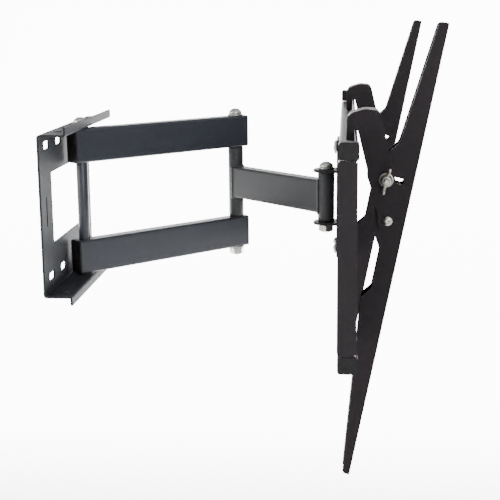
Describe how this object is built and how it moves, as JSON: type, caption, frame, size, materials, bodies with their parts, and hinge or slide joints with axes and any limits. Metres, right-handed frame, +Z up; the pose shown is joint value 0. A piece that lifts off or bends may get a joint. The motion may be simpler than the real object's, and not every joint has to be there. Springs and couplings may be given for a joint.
{
  "type": "full motion tv wall mount",
  "caption": "Folding-arm wall mount for a flat television: a wall plate, twin-tube rear arm, single front arm, wide swivelling plate and hooked tilting brackets held by wing nuts.",
  "frame": {"origin": "on the wall plate's back face, at the middle of its width, midway between the two upper pairs of wall screw slots", "axes": "+X out of the wall towards the room, +Y along the wall, +Z up"},
  "size_m": [0.4289, 0.7004, 0.4613],
  "materials": {
    "powder_coat_steel": "satin black powder coat",
    "zinc": "bright zinc plate",
    "black_plastic": "fine matte",
    "nylon": "smooth, slightly waxy"
  },
  "bodies": {
    "wall_side": {"wall_plate": "powder_coat_steel", "wall_pivot_bolt": "zinc", "wall_pivot_nut": "zinc", "wall_pivot_washer_upper": "zinc", "wall_pivot_washer_lower": "zinc", "wall_bearing_upper": "nylon", "wall_bearing_lower": "nylon"},
    "rear_arm": {"arm1_upper_tube": "powder_coat_steel", "arm1_lower_tube": "powder_coat_steel", "arm1_wall_tube": "powder_coat_steel", "arm1_upper_wall_cap": "black_plastic", "arm1_upper_elbow_cap": "black_plastic", "arm1_lower_wall_cap": "black_plastic", "arm1_lower_elbow_cap": "black_plastic", "elbow_bolt": "zinc", "elbow_nut": "zinc", "elbow_washer_upper": "zinc", "elbow_washer_lower": "zinc", "elbow_bearing_upper": "nylon", "elbow_bearing_lower": "nylon"},
    "front_arm": {"arm2_tube": "powder_coat_steel", "elbow_tube": "powder_coat_steel", "head_tube": "powder_coat_steel", "elbow_bush_upper": "nylon", "elbow_bush_lower": "nylon", "head_bush_upper": "nylon", "head_bush_lower": "nylon"},
    "head": {"head_bracket": "powder_coat_steel", "head_bolt": "zinc", "head_nut": "zinc", "head_washer": "zinc", "head_bearing_upper": "nylon", "head_bearing_lower": "nylon", "tv_plate": "powder_coat_steel", "plate_bolt_near_upper": "zinc", "plate_bolt_near_lower": "zinc", "plate_bolt_far_upper": "zinc", "plate_bolt_far_lower": "zinc", "plate_nut_near_upper": "zinc", "plate_nut_near_lower": "zinc", "plate_nut_far_upper": "zinc", "plate_nut_far_lower": "zinc", "rail_cap_near_upper": "black_plastic", "rail_cap_near_lower": "black_plastic", "rail_cap_far_upper": "black_plastic", "rail_cap_far_lower": "black_plastic"},
    "near_link": {"near_hook_link": "powder_coat_steel", "near_pivot_bolt": "zinc", "near_pivot_nut": "zinc", "near_tilt_bolt": "zinc", "near_tilt_washer": "zinc"},
    "near_bracket": {"near_tv_bracket": "powder_coat_steel"},
    "near_wing": {"near_wing_nut": "zinc"},
    "far_link": {"far_hook_link": "powder_coat_steel", "far_pivot_bolt": "zinc", "far_pivot_nut": "zinc", "far_tilt_bolt": "zinc", "far_tilt_washer": "zinc"},
    "far_bracket": {"far_tv_bracket": "powder_coat_steel"},
    "far_wing": {"far_wing_nut": "zinc"}
  },
  "joints": [
    {"name": "wall_swivel", "type": "hinge", "parent": "wall_side", "child": "rear_arm", "pos_m": [0.021, 0, -0.0763], "axis": [0, 0, 1], "range_deg": [-46, 40]},
    {"name": "elbow_swivel", "type": "hinge", "parent": "rear_arm", "child": "front_arm", "pos_m": [0.18761, 0.1643, -0.0763], "axis": [0, 0, -1], "range_deg": [-80, 35]},
    {"name": "head_swivel", "type": "hinge", "parent": "front_arm", "child": "head", "pos_m": [0.30866, 0.0407, -0.0763], "axis": [0, 0, 1], "range_deg": [-60, 40]},
    {"name": "near_link_slide", "type": "slide", "parent": "head", "child": "near_link", "axis": [0, 1, 0], "range_m": [-0.095, 0.1]},
    {"name": "far_link_slide", "type": "slide", "parent": "head", "child": "far_link", "axis": [0, 1, 0], "range_m": [-0.1, 0.14]},
    {"name": "near_tilt", "type": "hinge", "parent": "near_link", "child": "near_bracket", "pos_m": [0.3734, -0.184, -0.0622], "axis": [0, 1, 0], "range_deg": [-14, 0]},
    {"name": "far_tilt", "type": "hinge", "parent": "far_link", "child": "far_bracket", "pos_m": [0.3734, 0.216, -0.0622], "axis": [0, 1, 0], "range_deg": [-14, 0]},
    {"name": "near_wing_turn", "type": "hinge", "parent": "near_link", "child": "near_wing", "pos_m": [0.3715, -0.184, -0.0213], "axis": [0, 1, 0], "continuous": true},
    {"name": "far_wing_turn", "type": "hinge", "parent": "far_link", "child": "far_wing", "pos_m": [0.3715, 0.216, -0.0213], "axis": [0, 1, 0], "continuous": true}
  ],
  "couplings": [
    {"joint": "far_tilt", "follows": "near_tilt", "ratio": 1}
  ]
}
